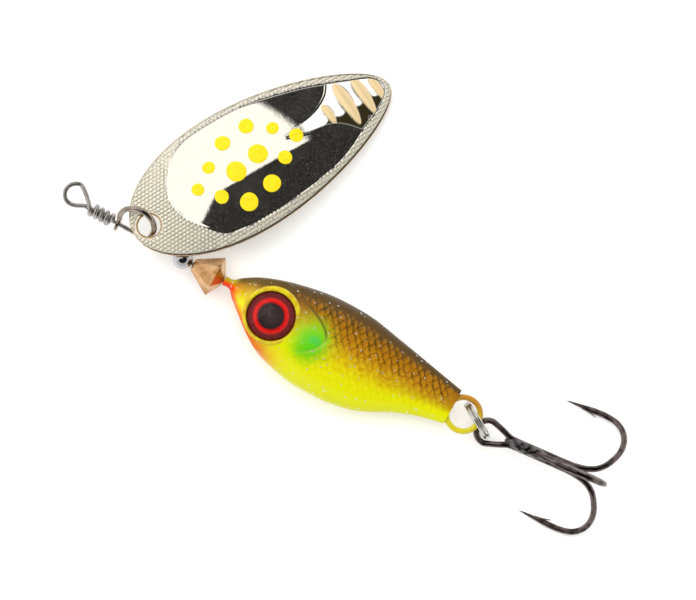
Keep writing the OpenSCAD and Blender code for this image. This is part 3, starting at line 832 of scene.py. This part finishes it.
def fish_shape():
    """The cast body with its gill covers, scales and eye sockets, and the paint's values at each point."""
    s = curve(STATIONS, 28)
    rows, cols = len(s), 260
    a = spokes(cols)
    section = (s[:, 0], (s[:, 1] + s[:, 2]) / 2, (s[:, 1] - s[:, 2]) / 2, s[:, 3])
    x, mid, half, thick = (np.repeat(q, cols) for q in section)
    ca, sa = np.tile(np.cos(a), rows), np.tile(np.sin(a), rows)
    y, z = mid + half * ca, thick * sa
    side = np.sign(z)
    n = unit(np.stack([0 * x, ca / half, sa / thick], 1))
    up = (1 + ca) / 2
    p = np.stack([x, y], 1)
    r = np.hypot(x - EYE[0], y - EYE[1])
    # gill cover: a raised plate that ends in a step
    g, behind = line_distance(p, GILL)
    ends = step(y, -4.2, -2.6) * (1 - step(y, 2.2, 3.1))
    plate = np.where(behind, 1 - step(g, 0.0, 0.10), 1.0) * (1 - step(np.where(behind, 0, g), 0.3, 3.2))
    h = 0.16 * plate * ends * step(r, 4.2, 5.0)
    groove = np.where(behind, np.exp(-((g - 0.10) / 0.16) ** 2), np.exp(-((g + 0.02) / 0.07) ** 2)) * ends
    h -= 0.07 * groove * step(r, 4.2, 5.0)
    # scales: two crossing families of slanted lines, from the gill to the tail
    lean = x + 0.15 * (y + 1.5) + 0.10 * np.sin(1.9 * x + 2.3 * y) + 0.07 * np.sin(4.1 * x - 1.7 * y + side)
    across = y + 1.0 + 0.12 * np.sin(1.3 * x - 1.1 * y + 0.7) + 0.06 * np.sin(3.7 * x + 2.9 * y)
    k1 = lean / 1.12 + across / 1.75
    k2 = lean / 1.12 - across / 1.75
    f1, f2 = np.abs(k1 % 1 - 0.5) * 2, np.abs(k2 % 1 - 0.5) * 2
    cell = np.minimum(1 - f1, 1 - f2)
    after = np.where(behind, step(g, 0.2, 1.2), 0) * (1 - step(x, 51.5, 53.2))
    after = np.maximum(after, step(x, 29.5, 31.0) * step(y, 2.6, 3.4) * (1 - step(x, 51.5, 53.2)))
    zone = after * (0.35 * step(up, 0.28, 0.45) + 0.65 * step(up, 0.46, 0.66)) * (1 - step(up, 0.84, 0.92))
    faint = after * step(up, 0.10, 0.30) * (1 - step(up, 0.42, 0.6))
    patchy = 0.5 + 0.5 * np.sin(2.7 * x + 3.1 * y) * np.sin(5.3 * x - 2.1 * y + 1.0)
    line = np.maximum(1 - step(1 - f1, 0.08, 0.24 + 0.12 * patchy),
                      (1 - step(1 - f2, 0.06, 0.22)) * (0.35 + 0.5 * patchy))
    shade = step((k1 % 1 + k2 % 1) / 2, 0.15, 0.75) * step(cell, 0.1, 0.4)
    h += (zone * 0.9 + faint * 0.25) * (0.05 * step(cell, 0.0, 0.5) - 0.03)
    # eye: a soft fillet up to the rim and a recess under the eye
    lift = np.clip(RIM_TOP - 0.56 - 0.75 * np.maximum(r - EYE_R - RIM_W, 0) ** 1.3, 0, None)
    out = np.stack([x, y, z], 1) + n * h[:, None]
    zz = np.abs(out[:, 2])
    near = (r < 5.2) & (zz > 0.8)
    soft = 0.35
    zz = np.where(near, np.maximum(zz, lift) + soft * np.exp(-np.abs(zz - lift) / soft) * 0.18, zz)
    zz = np.where((r < EYE_R + 0.12) & near, np.minimum(zz, SOCKET - 0.1), zz)
    out[:, 2] = side * zz
    # three smaller rings close each end, pushed out a little at the nose
    f = grid_faces(rows, cols, True)
    caps = []
    for at, row, nose in ((s[0], 0, 1), (s[-1], rows - 1, 0)):
        base = out[row * cols:(row + 1) * cols]
        c = np.array([at[0], (at[1] + at[2]) / 2, 0])
        for q, push in ((0.93, 0.040), (0.8, 0.056), (0.4, 0.064)):
            caps.append(c + (base - c) * q - [nose * push, 0, 0])
    v = np.concatenate([out] + caps)
    for e, row in ((0, 0), (1, rows - 1)):
        rings = [row * cols + np.arange(cols)] + [(rows + e * 3 + q) * cols + np.arange(cols) for q in range(3)]
        for b0, b1 in zip(rings[:-1], rings[1:]):
            quad = np.stack([b0, np.roll(b0, -1), np.roll(b1, -1), b1], 1)
            f += (quad if e else quad[:, ::-1]).tolist()
        f.append(rings[-1].tolist() if e else rings[-1][::-1].tolist())

    def full(data):
        """Values for the body's points, then for the rings at both ends."""
        return np.concatenate([data] + [data[:cols]] * 3 + [data[-cols:]] * 3)

    fish = full(np.stack([x, y, up], 1))
    region = np.maximum(step(zone, 0, 0.4), faint * 0.8)
    scale = full(np.stack([line * np.maximum(zone, faint * 0.25), shade, region], 1))
    # the gill groove is painted dark on its upper part and pale on its lower part: painted shade and painted highlight
    upper = step(y, -1.2, 0.4)
    groove = groove * step(r, 4.0, 4.6)
    gill = full(np.stack([groove * upper, groove * (1 - upper), 0 * x], 1))
    # outward faces: rows run to the tail and columns from the back over the top
    f = [q[::-1] for q in f]
    return (v, f), {"fish": fish, "scale": scale, "gill": gill}


shape, values = fish_shape()
piece("fish_cast", shape, paint, "lure", ["fish_body"], values)

# ---------------------------------------------------------------- eyes

# The rim's outer side leans this much toward the tail and the back, per millimetre outside the eye
LEAN = np.array([0.10, 0.26, 0])


def eye_solid(profile, side, faces, sides=96):
    """A closed solid turned about the eye's axis from (radius, height) points."""
    p = np.asarray(profile, float)
    a = spokes(sides) * side
    v = np.concatenate([np.stack([EYE[0] + r * np.cos(a), EYE[1] + r * np.sin(a), np.full(sides, side * z)], 1)
                        + LEAN * max(r - EYE_R - 0.1, 0) for r, z in p])
    return v, grid_faces(len(p), sides, True) + faces(len(p), sides)


FOIL_T, LENS_H = 0.15, 1.3
dome_r = (EYE_R**2 + LENS_H**2) / (2 * LENS_H)
for name, side in (("left", 1), ("right", -1)):
    rim = rounded([(EYE_R + 0.02, SOCKET - 0.4), (EYE_R + RIM_W + 0.30, 1.0), (EYE_R + RIM_W + 0.22, RIM_TOP - 0.16),
                   (EYE_R + 0.28, RIM_TOP + 0.02), (EYE_R + 0.03, RIM_TOP - 0.1)], 0.2, 6)
    piece(f"{name}_eye_rim", eye_solid(rim[::-1], side, seam_faces), rim_paint, "lure")
    foil = [(0.02, SOCKET + 0.01), (EYE_R - 0.05, SOCKET + 0.01), (EYE_R - 0.02, SOCKET + 0.05),
            (EYE_R - 0.02, SOCKET + FOIL_T - 0.02), (EYE_R - 0.06, SOCKET + FOIL_T), (0.02, SOCKET + FOIL_T)]
    ink = eye_foil_material(f"eye_print_{name}", (np.array([*EYE, 0]) + ORIGIN) * MM)
    piece(f"{name}_eye_print", eye_solid(foil, side, end_faces), ink, "lure", [f"{name}_eye_foil"])
    z0 = SOCKET + FOIL_T - 0.06
    lens = [(0.02, z0), (EYE_R - 0.12, z0), (EYE_R - 0.03, z0 + 0.06)]
    for q in np.linspace(math.asin(EYE_R / dome_r) * 0.995, 0.004, 26):
        if dome_r * math.sin(q) < EYE_R - 0.03:
            lens.append((dome_r * math.sin(q), z0 + LENS_H + 0.05 - dome_r * (1 - math.cos(q))))
    piece(f"{name}_eye_dome", eye_solid(lens, side, end_faces), dome, "lure", [f"{name}_eye_lens"])

# ---------------------------------------------------------------- tail loop and split ring

LOOP, LOOP_R, LOOP_WIRE = np.array([55.4, -0.38, 0]), 2.38, 0.42
a = spokes(120)
ring = LOOP + LOOP_R * np.stack([np.cos(a), np.sin(a), 0 * a], 1)
shank = np.stack([np.linspace(45.5, LOOP[0] - LOOP_R, 24), np.full(24, LOOP[1]), np.zeros(24)], 1)
shank = tube(shank, LOOP_WIRE - 0.01, ends=(0.3, 0.0))
piece("tail_loop_painted", join(closed_tube(ring, LOOP_WIRE), shank), loop_paint, "lure", ["tail_loop"])

RING, RING_YAW, COIL_R, COIL_OFF = np.array([57.55, -0.23, -1.45]), -30, 0.28, 0.25
RING_R = 6.0 / 2 - COIL_R
# two turns of flattened wire, one beside the other
a = np.radians(np.arange(0, 721, 4.0))
shift = np.interp(np.degrees(a), [0, 300, 420, 720], [-COIL_OFF - 0.02, -COIL_OFF, COIL_OFF, COIL_OFF + 0.02])
a += math.radians(205)
coil = np.stack([RING_R * np.cos(a), shift, RING_R * np.sin(a)], 1)
v, f = tube(coil, 0.25, 0.27, sides=20, first=(0, 1, 0), ends=(0.35, 0.35))
piece("split_ring_coiled", (v @ turn("z", RING_YAW).T + RING, f), ring_metal, "ring", ["split_ring"])

# ---------------------------------------------------------------- treble hook

HOOK, HOOK_PITCH, HOOK_YAW, HOOK_R, SHANK = np.array([59.68, -0.94, -0.75]), 7.5, 5, 0.44, 0.53
HOOK_EYE_R, EYE_OPEN = 1.64, 62
HOOK_TURN = turn("z", HOOK_YAW) @ turn("y", -HOOK_PITCH)
HOOK_LINE = [(5.0, 0.53), (8.0, 0.53), (11.5, 0.53), (13.4, 0.66), (15.1, 1.1), (16.35, 1.95), (17.3, 3.4),
             (17.95, 5.4), (17.85, 7.25), (17.1, 8.7), (15.8, 9.65), (14.1, 9.98), (12.3, 9.98), (10.2, 9.88),
             (8.1, 9.78)]
POINT_L = 4.2


def round_shank(flat, direction):
    """Points in a hook's own plane, turned about the shank."""
    c, s = math.cos(math.radians(direction)), math.sin(math.radians(direction))
    return np.stack([flat[:, 0], flat[:, 1] * c, flat[:, 1] * s], 1)


def hook_path(direction):
    return round_shank(curve(HOOK_LINE, 12), direction)


def hook_radii(path):
    """The wire's radius along a hook, ground down to the point."""
    left = np.concatenate([np.cumsum(np.linalg.norm(np.diff(path[::-1], axis=0), axis=1))[::-1], [0]])
    return np.minimum(HOOK_R, 0.025 + (HOOK_R - 0.025) * (left / POINT_L) ** 0.8)


def barb(direction):
    """A sliver cut and raised from the point's inner side."""
    base, tip = np.array([10.4, 9.72]), np.array([12.8, 9.1])
    t = np.linspace(0, 1, 14)
    flat = base + (tip - base) * t[:, None] + np.stack([0 * t, 0.10 * np.sin(math.pi * t)], 1)
    out = round_shank(np.array([[0, 1]]), direction)[0]
    wide = 0.26 * np.sqrt(np.clip(1 - t**1.6, 0, 1)) + 0.015
    return tube(round_shank(flat, direction), 0.16 * (1 - 0.85 * t) + 0.01, wide, sides=16, first=out, ends=(0, 0.5))


def on_treble(shape):
    v, f = shape
    return v @ HOOK_TURN.T + HOOK, f


c30, s30 = math.cos(math.radians(30)), math.sin(math.radians(30))
eye_line = [(4.2, SHANK * c30, -SHANK * s30), (3.2, 0.55, -0.15), (2.1, 0.98, 0)]
around = np.radians(EYE_OPEN + 29.5 * np.arange(9))
eye_line += [(HOOK_EYE_R * math.cos(q), HOOK_EYE_R * math.sin(q), 0) for q in around]
eye_line += [(2.1, -0.98, 0), (3.2, -0.55, -0.15), (4.2, -SHANK * c30, -SHANK * s30)]
eye_path = curve(eye_line, 10)
one, two = hook_path(-30), hook_path(210)
path = np.concatenate([one[::-1], eye_path, two])
radii = np.concatenate([hook_radii(one)[::-1], np.full(len(eye_path), HOOK_R), hook_radii(two)])
double = on_treble(join(tube(path, radii, ends=(1, 1)), barb(-30), barb(210)))
piece("treble_double_forged", double, black, "treble", ["treble_double"])
three = hook_path(90)
single = on_treble(join(tube(three, hook_radii(three), ends=(0.6, 1)), barb(90)))
piece("treble_single_forged", single, black, "treble", ["treble_single"])

# Braze: solder that fills between the three shanks, thick at the eye and fading out before the bends
x = 2.6 + 10.6 * np.linspace(0, 1, 90)
fill = np.interp(x, [2.6, 2.9, 3.6, 4.3, 5.2, 6.4, 8.2, 10.4, 12.6, 13.2],
                 [0.12, 0.34, 0.52, 0.70, 0.78, 0.76, 0.64, 0.50, 0.34, 0.1])
lift = np.interp(x, [2.6, 4.0, 5.0, 7.0, 8.4, 9.6, 13.2], [-0.06, 0.10, 0.3, 0.28, 0.22, 0.08, 0])
fill, lift = (np.convolve(np.pad(q, 3, mode="edge"), np.ones(7) / 7, mode="valid") for q in (fill, lift))
sides = 48
a = spokes(sides)
v = []
for at, r, up in zip(x, fill, lift):
    r = r * (1 + 0.045 * np.sin(3 * a + 5 * at) + 0.03 * np.sin(7 * a - 3 * at) + 0.03 * np.sin(4.3 * at))
    v.append(np.stack([np.full(sides, at), r * np.cos(a) * 1.04, up + r * np.sin(a)], 1))
f = grid_faces(len(x), sides, True) + end_faces(len(x), sides)
piece("treble_braze", on_treble((np.concatenate(v), f)), braze_metal, "treble")

# ---------------------------------------------------------------- floor, light and camera

floor_mesh = bpy.data.meshes.new("floor")
FLOOR = 4
floor_mesh.from_pydata([(-FLOOR, -FLOOR, 0), (FLOOR, -FLOOR, 0), (FLOOR, FLOOR, 0), (-FLOOR, FLOOR, 0)], [],
                       [(0, 1, 2, 3)])
# the floor glows faintly, which lifts the shadows cast on it: painted light
m = Nodes("glowing_paper_floor", Emission_Strength=0.18)
at = m.where()
m.set(Base_Color=m.mix(m.noise(at, 30, 3), "fbfbfb", "f7f7f6"), Roughness=0.9)
floor_mesh.materials.append(m.material)
show("floor", floor_mesh)


def lamp(name, place, size, watts):
    """A round lamp aimed at the lure, which its metal doesn't mirror."""
    data = bpy.data.lights.new(name, "AREA")
    data.shape, data.size, data.energy = "DISK", size, watts
    obj = show(name, data)
    obj.location = place
    obj.rotation_mode = "QUATERNION"
    obj.rotation_quaternion = (-Vector(place)).to_track_quat("-Z", "Y")
    obj.visible_glossy = False


lamp("top_light", (-0.1, 0.15, 0.9), 0.9, 6.5)
lamp("side_light", (-0.6, 0.5, 0.5), 0.3, 1.2)

# A white tent with a dark gap overhead, and a soft panel beside the camera
world = bpy.data.worlds.new("studio")
bpy.context.scene.world = world
world.use_nodes = True
tree = world.node_tree
back = tree.nodes["Background"]
w = Nodes.__new__(Nodes)
w.tree = tree
look = w.add("TexCoord", out=0)
dx, dy, dz = w.split(look)
yaw = math.radians(YAW)
# the direction looked in, along and across the blade, as tangents of its angle from straight up
across = w.plus(w.mul(dx, -math.sin(yaw)), w.mul(dy, math.cos(yaw)))
along = w.plus(w.mul(dx, math.cos(yaw)), w.mul(dy, math.sin(yaw)))
high = w.math("MAXIMUM", dz, 0.05)
pa, pl = w.math("DIVIDE", across, high), w.math("DIVIDE", along, high)
# the panel's edge dips toward the blade's hole end
dip = w.math("MAXIMUM", w.math("SUBTRACT", 0.148, pl), 0.0)
dip = w.mul(w.math("MINIMUM", dip, 0.11), 2.25)
dip = w.mul(dip, w.math("GREATER_THAN", pl, -0.1))
panel = w.band(w.plus(pa, dip), 0.278, 0.290)
panel = w.mul(panel, w.until(pl, 0.395, 0.42))
tent = w.until(dz, 0.55, 0.72)
level = w.math("MAXIMUM", w.mul(panel, 1.15), w.mul(tent, 0.95))
tree.links.new(w.math("MAXIMUM", level, 0.02), back.inputs["Strength"])
back.inputs["Color"].default_value = (1, 0.99, 0.97, 1)

# The camera looks straight down, turned so that the shaft slopes across the picture
VIEW_MIDDLE, VIEW_WIDTH, DISTANCE, SLOPE, FILM = (33.6, 5.97, 0), 97.4, 450.0, 28.5, 36
middle = VIEW_MIDDLE + ORIGIN
camera = show("camera", bpy.data.cameras.new("camera"))
camera.location = Vector((middle[0] * MM, middle[1] * MM, DISTANCE * MM))
camera.rotation_euler = (0, 0, math.radians(SLOPE))
camera.data.sensor_width = FILM
camera.data.lens = FILM * (DISTANCE - ORIGIN[2]) / VIEW_WIDTH
camera.data.clip_start, camera.data.clip_end = 0.01, 10
bpy.context.scene.camera = camera
bpy.context.scene.view_settings.view_transform = "Standard"
